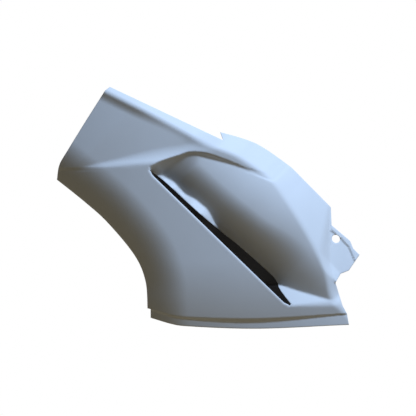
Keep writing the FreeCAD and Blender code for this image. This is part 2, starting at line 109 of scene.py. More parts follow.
def side_of(curve, a, b):
    """Distance from the curve, positive on the left of its direction."""
    best = np.full(np.shape(a), 1e18)
    sign = np.ones(np.shape(a))
    last = len(curve) - 2
    for i in range(last + 1):
        ex, ez = np.subtract(curve[i + 1], curve[i])
        px, pz = a - curve[i][0], b - curve[i][1]
        u = (px * ex + pz * ez) / (ex * ex + ez * ez)
        u = np.clip(u, 0 if i else -np.inf, 1 if i < last else np.inf)
        gap = (px - u * ex) ** 2 + (pz - u * ez) ** 2
        nearer = gap < best
        best = np.where(nearer, gap, best)
        sign = np.where(nearer, np.where(ex * pz - ez * px >= 0, 1, -1), sign)
    return sign * np.sqrt(best)


print("side of a level line, 2 above it", float(side_of([(0, 0), (10, 0)], 5.0, 2.0)))


# %% Soft joins
def soft_min(a, b, r):
    h = np.maximum(r - np.abs(a - b), 0) / r
    return np.minimum(a, b) - h * h * r / 4


def soft_max(a, b, r):
    return -soft_min(-a, -b, r)


def ease(u):
    u = np.clip(u, 0, 1)
    return u * u * (3 - 2 * u)


def fade(span, s):
    """Eased share of the way along a span, which is given as its start and length."""
    return ease((s - span[0]) / span[1])


def mix(a, b, share):
    return a + (b - a) * share


def run_on(before, end, reach=90.0):
    """Spot that lies past end on the straight run from before."""
    share = reach / math.dist(before, end)
    return mix(end[0], 2 * end[0] - before[0], share), mix(end[1], 2 * end[1] - before[1], share)


print("soft minimum of 1 and 1", soft_min(1.0, 1.0, 2.0))

# %% Named lines
# Vent, crest and ridge: s first, then t, a depth or a width.
STATIONS = np.cumsum([-152, 74, 78, 40, 60, 70, 35, 80, 56, 54])
SLOT_LENGTH = float(STATIONS[8])
CREST = list(zip(STATIONS, (45, 68, 91, 102, 125.5, 135.5, 129.5, 109, 88.5, 59.5)))
TIP = CREST[-1]
TIP_RUN = (TIP[0] + 90, TIP[1])
CREST.append(TIP_RUN)
BULGE_LINE = [(-78, 104), (0, 104), (28, 102), (45, 80), (55, 69), (75, 70), (100, 71), (170, 76), (205, 80)]
BULGE_LINE += [(285, 95), (SLOT_LENGTH, 95), (TIP[0], 85)]
BULGE_LEVEL = list(zip(STATIONS[1:], (20, 17, 16, 10, 3.5, 4, 8, 8.5, 9.5)))
BULGE_DROP = list(zip(STATIONS[1:], (13, 21, 36, 37, 37, 36, 35, 37, 31)))
SLOT_GAP = list(zip(STATIONS[2:7], (0, 4, 5.5, 10, 13.5)))
SLOT_GAP += [(285, 16.5), (299, 13.9), (305, 10.4), (313, 8), (330, 5.3), (SLOT_LENGTH, 4)]
LOBES = [(0, 3), (10, 6), (30, 7.5), (48, 10.5), (72, 9), (98, 14.5), (125, 15), (168, 13)]
RIDGE = [(-94, -90.5), (-51, -47), (-8, -2)]
RIDGE = [run_on(RIDGE[1], RIDGE[0])] + RIDGE
RIDGE_LINE = smooth_line(RIDGE)
BROW = [(1, 24), (12, 52), (29, 78.5), (82, 105), (121, 121), (145, 133), (300, 190)]
BROW_LINE = smooth_line(RIDGE + BROW)
FLOOR_LINE = [(SLOT_LENGTH, 0.0), TIP]
# Outlines and folds: x, then z.
NOSE_EDGE = [(-490.5, 104), (-485.5, 130.5), (-469.5, 157.5), (-438.5, 207.5), (-405, 260)]
NOSE_TOP = (-396.5, 266.5)
NOTCH = [(-198.5, 173), (-203.5, 187.5)]
SHOULDER = [NOTCH[1], (-138.5, 166.5), (-78, 125.5)]
REAR_CORNER = (-8.5, 55.5)
TAIL_EDGE = (11, -117)
FOLD = [(15, -117), (3, -82), (-3, -75), (-11, -41), REAR_CORNER]
TAB = [(-7.5, 24), (25, -3.5), (30.5, -17), (41.5, -28), (22.5, -55.5)]
GUSSET = [(8, -61), (-1.5, -76.5)]
WEB_LINE = [(-11.2, -41.1), (7.4, -60.8)]
RIM_LINE = [(-10, 14.7), (9.6, -1.3), (20.5, -12.7), (25, -22), (31, -36)]
ARCH = [NOSE_EDGE[0], (-441.5, 65), (-400.5, 28), (-353.5, -29), (-334.5, -74), (-331, -122)]
ARCH_LINE = smooth_line([run_on(ARCH[1], ARCH[0])] + ARCH + [run_on(ARCH[-2], ARCH[-1])])
JOGGLE = [ARCH[-1], (-268.5, -136), (-160, -139), (18.5, -130.5)]
LIP_ENDS = (JOGGLE[0][0] + 5.5, JOGGLE[-1][0] + 3.5)
LIP_MARKS = (LIP_ENDS[0], JOGGLE[2][0], LIP_ENDS[1])
print("slot length mm", SLOT_LENGTH)

# %% [markdown]
# ## Depth of the skin
# Seen from the side, no part of the outer skin hides another, apart from the duct behind the slot. So the
# form can be a depth for each spot, y inward. The alternative, pushing a cage of control points about by
# hand, would need many points to hold the crisp ridge and brow. Soft minimum and maximum join two depths
# with a moulded radius.
#
# The front skin comes first. It sweeps round the bike, rolls in to the wheel arch and tucks under to the
# lower lip, which is stepped in by a joggle so that the belly pan can sit flush over it. The ridge is a
# facet that opens rearward.

# %% Front skin
SWEEP_START, SWEEP_FRONT, SWEEP_REAR = -150.0, 1700.0, 2500.0
ROLL_DEPTH, ROLL_WIDTH = 28.0, 71.0
TUCK_FRONT, TUCK_REAR, TUCK_WIDTH = 11.0, 9.0, 100.0


def front_skin(x, z):
    sweep = x - SWEEP_START
    y = sweep * sweep / (2 * np.where(sweep < 0, SWEEP_FRONT, SWEEP_REAR))
    y = y + ROLL_DEPTH * np.maximum(0, 1 - side_of(ARCH_LINE, x, z) / ROLL_WIDTH) ** 2
    share = np.clip((x - JOGGLE[0][0]) / (JOGGLE[-1][0] - JOGGLE[0][0]), 0, 1)
    tuck = mix(TUCK_FRONT, TUCK_REAR, share)
    return y + tuck * np.maximum(0, 1 - (z - along(JOGGLE, x)) / TUCK_WIDTH) ** 2


print("front skin depth mm at the arch's foot", round(float(front_skin(*ARCH[-1])), 2))

# %% Ridge facet
RIDGE_SLOPE, RIDGE_SET, RIDGE_DEPTH, RIDGE_ROUND = 0.66, (2.0, 7.0), 14.0, (5.0, 3.0)
COVE_SLOPE, COVE_DEPTH = 0.4, (6.0, 13.0)
RIDGE_TURN, RIDGE_OPENING, RIDGE_CLOSING = (-105.0, 100.0), (-97.0, 115.0), (12.0, 50.0)
LEAST_BLEND, FACET_BLEND, COVE_BLEND = 0.5, 0.6, 0.5


def ridge_recess(s, above, below):
    """Depth of the facet above the ridge: it opens rearward and comes back to the skin at the crest."""
    rearward = fade(RIDGE_TURN, s)
    opened = np.clip((s - RIDGE_OPENING[0]) / RIDGE_OPENING[1], 0, 1)
    share = np.clip(above / np.maximum(above + below, LEAST_BLEND), 0, 1)
    deep = mix(RIDGE_DEPTH * opened, mix(*COVE_DEPTH, rearward), share)
    rolled = soft_max(RIDGE_SLOPE * (above - mix(*RIDGE_SET, rearward)), 0, mix(*RIDGE_ROUND, rearward))
    recess = soft_min(rolled, deep, LEAST_BLEND + FACET_BLEND * deep)
    cove = COVE_SLOPE * below + COVE_DEPTH[1] * rearward
    recess = soft_min(recess, cove, LEAST_BLEND + COVE_BLEND * np.maximum(recess, 0))
    return np.minimum(recess, recess * (1 - fade(RIDGE_CLOSING, s)))


print("facet depth mm, 30 above the ridge's rear", round(float(ridge_recess(0.0, 30.0, 50.0)), 2))

# %% Vent floor and crest
FLOOR_SLOPE, FLOOR_REACH, FLOOR_STEEP, FLOOR_ROUND = 1.0, 33.0, 2.0, (3.0, 8.0)
FLOOR_START = 12.0
CREST_ROUND, FLANGE_SLOPE = (6.0, 8.0), (0.85, 0.92)
CREST_TURN, FLANGE_TURN = (340.0, 60.0), (-40.0, 220.0)


def floor_rise(s, t):
    """Depth of the vent floor below the skin; its lower edge turns over into the skin."""
    ahead = (TIP[0] - SLOT_LENGTH, TIP[1])
    length = math.hypot(*ahead)
    run = ((s - SLOT_LENGTH) * ahead[0] + t * ahead[1]) / length
    inside = side_of(FLOOR_LINE, s, t)
    turned = soft_max(FLOOR_SLOPE * inside, 0, mix(*FLOOR_ROUND, ease(run / length)))
    flat = np.maximum(FLOOR_SLOPE * inside, 0) + FLOOR_STEEP * np.maximum(inside - FLOOR_REACH, 0)
    return mix(flat, np.maximum(flat, turned), ease(run / FLOOR_START))


def past_crest(s, t):
    """How far a spot lies past the crest, with the crest's radius, and how far the flange drops there."""
    over = soft_max(t - along(CREST, s), 0, mix(*CREST_ROUND, fade(CREST_TURN, s)))
    lean = (along(CREST, s + 1) - along(CREST, s - 1)) / 2
    return over, mix(*FLANGE_SLOPE, fade(FLANGE_TURN, s)) * over / np.sqrt(1 + lean * lean)


print("flange drop mm, 20 past the crest", round(float(past_crest(100.0, along(CREST, 100.0) + 20)[1]), 2))

# %% Slot rim and lower lip
SLOT_SET, SLOT_EASE, SLOT_ROLL = 3.0, 12.0, (1.5, 3.0)
LIP_DEPTH = list(zip(LIP_MARKS, (15.5, 18, 20)))
JOGGLE_STEP = list(zip(LIP_MARKS, (3, 6, 3)))
JOGGLE_BAND = list(zip(LIP_MARKS, (1.5, 8, 1.5)))
LIP_LEAN = (0.3, -0.05)
FAR_BELOW = 1e3


def lip_foot(x):
    return along(JOGGLE, x) - along(LIP_DEPTH, x)


def slot_side(s):
    """Where the front skin ends at the slot."""
    return -SLOT_SET * ease(s / SLOT_EASE) * ease((SLOT_LENGTH - s) / SLOT_EASE)


def front_depth(x, z):
    s, t = to_slot(x, z)
    turns = ridge_recess(s, np.minimum(side_of(RIDGE_LINE, s, t), 0), FAR_BELOW)
    turns = np.where(s > SLOT_LENGTH, floor_rise(s, t) + past_crest(s, t)[1], np.where(s < 0, turns, 0))
    seam = along(JOGGLE, x)
    below = np.maximum(seam - z, 0)
    band = along(JOGGLE_BAND, x)
    lean = mix(*LIP_LEAN, (x - LIP_ENDS[0]) / (LIP_ENDS[1] - LIP_ENDS[0]))
    step = along(JOGGLE_STEP, x) * np.minimum(below / band, 1) + lean * np.maximum(below - band, 0)
    slot_near = np.maximum(0, 1 - (slot_side(s) - t) / SLOT_ROLL[1]) ** 2
    turns = turns + np.where((s > 0) & (s < SLOT_LENGTH), SLOT_ROLL[0] * slot_near, 0)
    return front_skin(x, np.maximum(z, seam)) + step + turns


print("front skin depth mm over the lip", round(float(front_depth(-160.0, -100.0)), 2))

# %% [markdown]
# ## Vent, crest and tab
# The vent lets hot air out from behind the skin: a bulge rises from a trough behind the slot, two lobes
# roll out over the slot's upper lip, a brow overhangs the top and a floor brings the trough back to the
# skin. It could be lofted through sections. A rule for each section keeps the lobes and the brow sharp
# where they run out, and each can be moved alone. Past the crest the flange falls away to the tank, and at
# the rear it folds down to a flat seat with the fixing hole.

# %% Vent
BULGE_CURVE, BULGE_POWER, BULGE_BLEND = 0.0026, 1.9, 4.0
LOBE_SLOPE, LOBE_BLEND, LOBE_SINK = 0.65, 3.0, 22.0
LOBE_START, LOBE_END = -5.0, (115.0, 53.0)
TIP_SINK, TIP_END = 20.0, (TIP[0] - 3, 20.0)
DUCT_SLOPE = 0.9
BROW_SLOPE, BROW_START = (0.12, 1.5), (-16.0, 20.0)
FLOOR_BLEND = 2.0


def slot_gap(s):
    return along(SLOT_GAP, np.clip(s, 0, SLOT_LENGTH))


def bulge(s, t):
    line, level, drop, gap = along(BULGE_LINE, s), along(BULGE_LEVEL, s), along(BULGE_DROP, s), slot_gap(s)

    def trough(across):
        return level + drop * np.maximum((line - across) / (line - gap), 0) ** BULGE_POWER

    inside = np.maximum(t, gap)
    y = trough(inside) + BULGE_CURVE * np.maximum(inside - line, 0) ** 2
    foot = gap + along(LOBES, s)
    lobe = trough(foot) + LOBE_SLOPE * (inside - foot) + LOBE_SINK * fade(LOBE_END, s)
    y = np.where((s > LOBE_START) & (s < LOBES[-1][0]), soft_min(y, lobe, LOBE_BLEND), y)
    return y + TIP_SINK * fade(TIP_END, s)


def vent(s, t, brow, above, skin):
    steep = mix(*BROW_SLOPE, fade(BROW_START, s))
    y = soft_min(bulge(s, t), brow - steep * above, BULGE_BLEND)
    duct = np.where(s > 0, DUCT_SLOPE * np.maximum(slot_gap(s) - t, 0), 0)
    return soft_min(y, skin + floor_rise(s, t), FLOOR_BLEND) + duct


print("trough depth mm at mid slot", round(float(bulge(170.0, 30.0)), 2))

# %% Seat and upper skin
SEAT_DEPTH, SEAT_SLOPE = 52.0, 0.33
SEAT_LEAN = math.sqrt(1 + 2 * SEAT_SLOPE**2)
BROW_SAG, SAG_SPAN, BROW_BLEND = 13.0, (20.0, 125.0), 1.2
BROW_BAND, VENT_START = 6.0, -40.0
FOLD_SLOPE, FOLD_BLEND, WEB_SLOPE = 1.2, 4.0, 0.37
TAB_SIDE, TAB_FOOT = (-1.0, 3.0), (-92.0, 12.0)
RIM_HEIGHT, RIM_WIDTH = 2.5, 1.5


def seat_depth(x, z):
    return SEAT_DEPTH + SEAT_SLOPE * (x + z) - WALL / 2 * SEAT_LEAN


def upper_depth(x, z):
    s, t = to_slot(x, z)
    crest = along(CREST, s)
    over, drop = past_crest(s, t)
    t = t - over
    skin = front_skin(*from_slot(s, t))
    above = side_of(BROW_LINE, s, t)
    brow = skin + BROW_SAG * fade(SAG_SPAN, s)
    facet = ridge_recess(s, side_of(RIDGE_LINE, s, t), np.maximum(crest - t, 0))
    y = brow + facet + np.where(s > 0, np.minimum(above + BROW_BAND, 0), 0)
    with_vent = soft_max(y, vent(s, t, brow, above, skin), BROW_BLEND)
    y = np.where(s > VENT_START, with_vent, np.maximum(y, skin))
    y = y + drop
    seat = seat_depth(x, z) - WEB_SLOPE * np.maximum(-side_of(WEB_LINE, x, z), 0)
    beyond = x - along([(z_at, x_at) for x_at, z_at in FOLD], z)
    y = soft_max(y, soft_min(seat, seat + FOLD_SLOPE * beyond, FOLD_BLEND), FOLD_BLEND)
    on_tab = fade(TAB_SIDE, beyond) * fade(TAB_FOOT, z)
    rim = RIM_HEIGHT * SEAT_LEAN * ease(side_of(RIM_LINE, x, z) / RIM_WIDTH)
    return mix(y, seat - rim, on_tab)


print("bulge depth mm at mid slot", round(float(upper_depth(*from_slot(170.0, 60.0))), 2))

# %% [markdown]
# ## Outlines
# A mould's parting line gives the panel its outline: the nose, the arch, the lip, the tail, the tab and the
# notch where the next panel hooks in. The front skin and the vent are outlined apart, because the vent runs
# on behind the slot.

# %% Outline helpers
STEP = 2.0


def paced(points, step=STEP):
    """The same line with points an even step apart."""
    points = np.array(points, float)
    reach = np.concatenate([[0], np.cumsum(np.hypot(*np.diff(points, axis=0).T))])
    spots = np.linspace(0, reach[-1], max(int(round(reach[-1] / step)), 1) + 1)
    return np.column_stack([np.interp(spots, reach, points[:, i]) for i in (0, 1)])


def polyline(*runs):
    """Runs of corners, each paced by itself so that its corners stay, joined end to end."""
    parts = []
    for run in runs:
        for a, b in zip(run, run[1:]):
            parts.append(paced([a, b])[:-1])
    return np.vstack(parts + [np.array(runs[-1][-1:], float)])


def curved(points):
    return paced(smooth_line(points, 24))


def crossing(first, second):
    """First spot at which one line crosses another."""
    for a, b in zip(first, first[1:]):
        for c, d in zip(second, second[1:]):
            r, q = np.subtract(b, a), np.subtract(d, c)
            det = r[0] * q[1] - r[1] * q[0]
            if abs(det) > 1e-9:
                w = np.subtract(c, a)
                u, v = (w[0] * q[1] - w[1] * q[0]) / det, (w[0] * r[1] - w[1] * r[0]) / det
                if 0 <= u <= 1 and 0 <= v <= 1:
                    return tuple(np.add(a, u * r))
    raise ValueError("the lines do not cross")


def in_slot(points):
    return [from_slot(s, t) for s, t in points]


print("points on a 20 mm run", len(paced([(0, 0), (20, 0)])))

# %% Edges and seams
FINE_SPAN = 24
DUCT_OVERLAP, DUCT_EASE = 16.0, 30.0
nose_edge = smooth_line(NOSE_EDGE, FINE_SPAN)
ridge_line = smooth_line(in_slot(RIDGE + [(0, 0)]), FINE_SPAN)
nose_seam = crossing(nose_edge, ridge_line)
nose_low = [p for p in nose_edge if p[1] < nose_seam[1]]
nose_high = [p for p in nose_edge if p[1] > nose_seam[1]]
seam_ridge = paced([nose_seam] + [p for p in ridge_line if p[0] > nose_seam[0]])
slot_runs = np.linspace(0, SLOT_LENGTH, 200)
slot_edge = paced(in_slot(np.column_stack([slot_runs, slot_side(slot_runs)])))
seam_floor = polyline(in_slot([(SLOT_LENGTH, 0), TIP]) + [JOGGLE[-1]])
duct_runs = np.linspace(0, 1, 90) * SLOT_LENGTH
duct_sides = -DUCT_OVERLAP * ease(duct_runs / DUCT_EASE) * ease((SLOT_LENGTH - duct_runs) / DUCT_EASE)
duct_edge = in_slot(np.column_stack([duct_runs, duct_sides]))
lip_xs = np.linspace(LIP_ENDS[0], LIP_ENDS[1], 60)
lip_edge = paced(np.column_stack([lip_xs, lip_foot(lip_xs)]))
joggle_xs = np.linspace(JOGGLE[0][0], LIP_ENDS[0], 5)
joggle_start = np.column_stack([joggle_xs, along(JOGGLE, joggle_xs)])

front_free = [
    paced([nose_seam] + nose_low[::-1]),
    curved(ARCH),
    paced(joggle_start),
    paced([joggle_start[-1], lip_edge[0]]),
    lip_edge,
    paced([lip_edge[-1], JOGGLE[-1]]),
]
front_joined = [seam_floor[::-1], slot_edge[::-1], seam_ridge[::-1]]
upper_free = [
    paced([nose_seam] + nose_high),
    polyline([NOSE_EDGE[-1], NOSE_TOP, *NOTCH]),
    curved(SHOULDER),
    polyline([SHOULDER[-1], REAR_CORNER, *TAB, *GUSSET, TAIL_EDGE, JOGGLE[-1]]),
]
upper_joined = [seam_floor[::-1], paced(duct_edge[::-1]), seam_ridge[::-1]]
print("seam points", len(seam_ridge), len(seam_floor))

# %% Hole and loops
HOLE_RADIUS = 7.5
hole_turns = np.linspace(0, 2 * math.pi, 49)
inward = np.array((-SEAT_SLOPE, 1, -SEAT_SLOPE)) / SEAT_LEAN
seat_x = np.cross(inward, (0, 0, 1))
seat_x /= np.linalg.norm(seat_x)
seat_z = np.cross(seat_x, inward)
hole_ring = [HOLE_RADIUS * (math.cos(a) * seat_x + math.sin(a) * seat_z) for a in hole_turns]
hole_edge = np.array(hole_ring)[:, [0, 2]]


def loop_of(*runs):
    """Runs joined into one closed loop of points, with the repeated ends dropped."""
    points = np.vstack([run[:-1] for run in runs])
    keep = np.hypot(*(points - np.roll(points, 1, axis=0)).T) > 1e-6
    return points[keep]


front_loop = loop_of(*front_free, *front_joined)
upper_loop = loop_of(*upper_free, *upper_joined)
print("outline points", len(front_loop), len(upper_loop))

# %% [markdown]
# ## The net inside an outline
# A constrained Delaunay fill keeps the outline exact and puts a fine even grid in the middle. A grid cut by
# a boolean would leave ragged slivers along it. Rows of points along the free edges follow a small radius,
# as a trimmed moulding has.


# %% Inside and distance
def within(loops, points):
    """Whether each point lies inside the loops, by counting the edges that a ray crosses."""
    inside = np.zeros(len(points), bool)
    for loop in loops:
        for (ax, az), (bx, bz) in zip(loop, np.roll(loop, -1, axis=0)):
            if az != bz:
                spans = (az > points[:, 1]) != (bz > points[:, 1])
                inside ^= spans & (points[:, 0] < ax + (points[:, 1] - az) * (bx - ax) / (bz - az))
    return inside


def tree_of(points):
    tree = kdtree.KDTree(len(points))
    for i, (x, z) in enumerate(points):
        tree.insert((x, z, 0), i)
    tree.balance()
    return tree


def distances(tree, points):
    return np.array([tree.find((x, z, 0))[2] for x, z in points])


print("is the hole outside the front's outline", not within([front_loop], np.zeros((1, 2)))[0])

# %% Fill an outline with triangles
EDGE_RADIUS = 1.1
ROW_SHARES = (0.25, 0.6, 1.05)
FINE_STEP = 0.5
CREASE_CLEAR = 0.45 * STEP


def edge_rows(loops, tree):
    """Rows of points just inside the loops, where the edge turns over."""
    rows = []
    for loop in loops:
        ahead = np.roll(loop, -1, axis=0) - np.roll(loop, 1, axis=0)
        side = np.column_stack([-ahead[:, 1], ahead[:, 0]]) / np.hypot(*ahead.T)[:, None]
        for share in ROW_SHARES:
            both = np.vstack([loop + side * share * EDGE_RADIUS, loop - side * share * EDGE_RADIUS])
            both = both[within(loops, both)]
            rows.append(both[distances(tree, both) > 0.9 * share * EDGE_RADIUS])
    return np.vstack(rows)


def fill(loops, joined, creases=()):
    """Points and triangles inside the loops; the creases are lines that triangle edges follow."""
    fine = tree_of(np.vstack([paced(np.vstack([loop, loop[:1]]), FINE_STEP) for loop in loops]))
    rows = edge_rows(loops, fine)
    rows = rows[distances(tree_of(np.vstack([paced(run, FINE_STEP) for run in joined])), rows) > STEP]
    low, high = loops[0].min(axis=0), loops[0].max(axis=0)
    corners = np.array([to_slot(x, z) for x in (low[0], high[0]) for z in (low[1], high[1])])
    spans = [np.arange(a, b, STEP) for a, b in zip(corners.min(axis=0), corners.max(axis=0))]
    grid = np.column_stack(from_slot(*[axis.ravel() for axis in np.meshgrid(*spans)]))
    grid = grid[within(loops, grid)]
    grid = grid[distances(fine, grid) > EDGE_RADIUS + STEP * 0.5]
    if creases:
        crease_tree = tree_of(np.vstack([paced(crease, FINE_STEP) for crease in creases]))
        grid = grid[distances(crease_tree, grid) > CREASE_CLEAR]
    points, edges = [], []
    for loop in loops:
        first = sum(len(p) for p in points)
        edges += [(first + i, first + (i + 1) % len(loop)) for i in range(len(loop))]
        points.append(loop)
    for crease in creases:
        first = sum(len(p) for p in points)
        edges += [(first + i, first + i + 1) for i in range(len(crease) - 1)]
        points.append(crease)
    points = np.vstack(points + [rows, grid])
    coords, _, tris, *_ = delaunay_2d_cdt([Vector(p) for p in points], edges, [], 0, 1e-5)
    coords = np.array([tuple(c) for c in coords])
    tris = np.array(tris)
    return coords, tris[within(loops, coords[tris].mean(axis=1))]


square = np.array([(0, 0), (20, 0), (20, 20), (0, 20)], float)
print("triangles in a 20 mm square", len(fill([square], [square + 100])[1]))

# %% [markdown]
# ## Wall and weld
# Moulded ABS keeps an even wall, so that it cools without sinking. Solidify would give one too, but here
# the wall is set back along y, which keeps both faces on one net and the edges' rounds in step. The two
# skins share the points of their seam, so they weld into one closed shell.

# %% Give a skin its wall
THICKEST = 1.8
SLIVER = 1e-3
EDGE_STEP = 0.25


def edge_turn(points, free):
    """How far the outer face turns in at the free edges, as a quarter round."""
    edge_tree = tree_of(np.vstack([paced(run, EDGE_STEP) for run in free]))
    near = np.minimum(distances(edge_tree, points), EDGE_RADIUS)
    return EDGE_RADIUS - np.sqrt(np.maximum(EDGE_RADIUS**2 - (EDGE_RADIUS - near) ** 2, 0))


def skin_shell(depth, loops, free, joined, creases=()):
    """One skin with its wall: the points of both sides, then the outer, inner and rim faces."""
    points, tris = fill(loops, joined, creases)
    x, z = points.T
    y = depth(x, z)
    rise_x = depth(x + 0.5, z) - depth(x - 0.5, z)
    rise_z = depth(x, z + 0.5) - depth(x, z - 0.5)
    thick = WALL * np.minimum(np.sqrt(1 + rise_x**2 + rise_z**2), THICKEST)
    on_seam = distances(tree_of(np.vstack(joined)), points) < 1e-3
    y = np.where(on_seam, front_depth(x, z), y)
    thick = np.where(on_seam, WALL, thick)
    turn = edge_turn(points, free)
    outer = np.column_stack([x, y + turn, z])
    inner = np.column_stack([x, y + thick - turn, z])
    a, b, c = (points[tris[:, i]] for i in range(3))
    area = (b[:, 0] - a[:, 0]) * (c[:, 1] - a[:, 1]) - (b[:, 1] - a[:, 1]) * (c[:, 0] - a[:, 0])
    tris = np.where((area > 0)[:, None], tris, tris[:, [0, 2, 1]])[np.abs(area) > SLIVER]
    count = len(points)
    ways = np.vstack([tris[:, [0, 1]], tris[:, [1, 2]], tris[:, [2, 0]]])
    _, index, uses = np.unique(np.sort(ways, axis=1), axis=0, return_index=True, return_counts=True)
    border = ways[index[uses == 1]]
    border = border[~(on_seam[border[:, 0]] & on_seam[border[:, 1]])]
    rim = np.column_stack([border[:, 1], border[:, 0], border[:, 0] + count, border[:, 1] + count])
    return np.vstack([outer, inner]), tris, tris[:, ::-1] + count, rim


print("wall mm", WALL, "edge radius mm", EDGE_RADIUS)

# %% Build both skins
lip_runs = np.arange(LIP_ENDS[0] + 2.5, JOGGLE[-1][0] - 2.0, STEP)
joggle_crease = np.column_stack([lip_runs, along(JOGGLE, lip_runs)])
band_crease = np.column_stack([lip_runs, along(JOGGLE, lip_runs) - along(JOGGLE_BAND, lip_runs)])
rim_edges = front_free + upper_free
front_mesh = skin_shell(
    front_depth, [front_loop], rim_edges + [slot_edge], [seam_ridge, seam_floor], [joggle_crease, band_crease]
)
mouth_runs = np.arange(6.0, SLOT_LENGTH - 2.0, STEP)
duct_mouth = np.column_stack(from_slot(mouth_runs, slot_gap(mouth_runs)))
upper_mesh = skin_shell(
    upper_depth,
    [upper_loop, hole_edge[:-1]],
    rim_edges + [np.array(duct_edge), hole_edge],
    [seam_ridge, seam_floor],
    [duct_mouth],
)
print("outer triangles", len(front_mesh[1]), len(upper_mesh[1]))

# %% Weld the panel
WELD = 2e-6


def panel_mesh():
    verts, faces, black_and_shade_faces = [], [], []
    for points, outer, inner, rim in (front_mesh, upper_mesh):
        first = sum(len(v) for v in verts)
        verts.append(points - (0, SEAT_DEPTH, 0))
        s, t = to_slot(*points[outer].mean(axis=1)[:, [0, 2]].T)
        # The duct's outer face gets the black finish: partly unsprayed moulding, partly painted shade for the
        # slot, which the shadowless key would otherwise light.
        duct = (s > 0) & (s < SLOT_LENGTH) & (t > -DUCT_OVERLAP) & (t < slot_gap(s)) & (len(verts) == 2)
        bore = np.hypot(*points[rim].mean(axis=1)[:, [0, 2]].T) < HOLE_RADIUS + 1
        faces += (outer[~duct] + first).tolist() + (rim[~bore] + first).tolist()
        black_and_shade_faces += (outer[duct] + first).tolist() + (inner + first).tolist() + (rim[bore] + first).tolist()
    mesh = bpy.data.meshes.new("painted_panel")
    mesh.from_pydata((np.vstack(verts) * MM).tolist(), [], faces + black_and_shade_faces)
    black_and_shade_index = np.zeros(len(mesh.polygons), int)
    black_and_shade_index[len(faces) :] = 1
    mesh.polygons.foreach_set("material_index", black_and_shade_index)
    mesh.polygons.foreach_set("use_smooth", np.ones(len(mesh.polygons), bool))
    return mesh


panel = bpy.data.objects.new("painted_panel", panel_mesh())
bpy.context.scene.collection.objects.link(panel)
weld = bmesh.new()
weld.from_mesh(panel.data)
bmesh.ops.remove_doubles(weld, verts=weld.verts, dist=WELD)
print("open edges", sum(len(e.link_faces) != 2 for e in weld.edges))
weld.to_mesh(panel.data)
weld.free()
print("panel faces", len(panel.data.polygons))

# %% [markdown]
# ## Finishes
# The panel is injection moulded ABS, sprayed on its outer face alone. Both finishes are built from nodes,
# so that they hold at any distance and need no pictures. One function adds a node with its settings and
# links.


# %% Node helper and colours
def linear(hex_colour):
    parts = [int(hex_colour[i : i + 2], 16) / 255 for i in (1, 3, 5)]
    return [c / 12.92 if c <= 0.04045 else ((c + 0.055) / 1.055) ** 2.4 for c in parts] + [1]


def add_node(tree, kind, inputs=None, **settings):
    node = tree.nodes.new(kind)
    for name, value in settings.items():
        setattr(node, name, value)
    for key, value in (inputs or {}).items():
        if isinstance(value, bpy.types.NodeSocket):
            tree.links.new(value, node.inputs[key])
        else:
            node.inputs[key].default_value = value
    return node


def new_material(name):
    material = bpy.data.materials.new(name)
    material.use_nodes = True
    material.node_tree.nodes.clear()
    return material, material.node_tree


print("mid grey as light", round(linear("#808080")[0], 4))

# %% [markdown]
# ### Satin paint
# A satin pale grey is sprayed over primer. Sprayed paint dries with a faint orange peel a few millimetres
# across, and its sheen drifts a little from place to place. A plain colour would look like card: the peel
# and the drift break up the gloss.


# %% Satin paint on ABS
def satin_paint():
    # Satin paint gives the eye an even colour and a wide, weak highlight.
    material, tree = new_material("satin_paint_on_abs")
    place = add_node(tree, "ShaderNodeTexCoord").outputs["Object"]
    cloud_mm, peel_mm = 70.0, 4.0
    cloud = add_node(
        tree, "ShaderNodeTexNoise", {"Vector": place, "Scale": 1 / (cloud_mm * MM), "Detail": 3.0}
    )
    peel = add_node(
        tree, "ShaderNodeTexNoise", {"Vector": place, "Scale": 1 / (peel_mm * MM), "Detail": 2.0}
    )
    tone = add_node(
        tree,
        "ShaderNodeMix",
        {0: cloud.outputs["Fac"], 6: linear("#C7C8C7"), 7: linear("#CDCECD")},
        data_type="RGBA",
    )
    rough = add_node(
        tree, "ShaderNodeMapRange", {"Value": cloud.outputs["Fac"], "To Min": 0.40, "To Max": 0.50}
    )
    bump = add_node(
        tree, "ShaderNodeBump", {"Height": peel.outputs["Fac"], "Strength": 0.05, "Distance": 0.2 * MM}
    )
    shader = add_node(
        tree,
        "ShaderNodeBsdfPrincipled",
        {
            "Base Color": tone.outputs[2],
            "Roughness": rough.outputs["Result"],
            "IOR": 1.48,
            "Specular IOR Level": 0.15,
            "Normal": bump.outputs["Normal"],
        },
    )
    add_node(tree, "ShaderNodeOutputMaterial", {"Surface": shader.outputs["BSDF"]})
    return material


paint = satin_paint()
print("finish", paint.name, len(paint.node_tree.nodes), "nodes")

# %% [markdown]
# ### Bare plastic and painted duct shade
# The back, the duct and the hole's wall are left as moulded: black ABS with a matt spark-eroded grain. The
# grain could be left out at this distance, but a close view of the back needs it. In the duct the black is
# partly painted shade: its colour is made darker than bare ABS so that the slot reads as deep in shadow,
# which the shadowless key doesn't give.


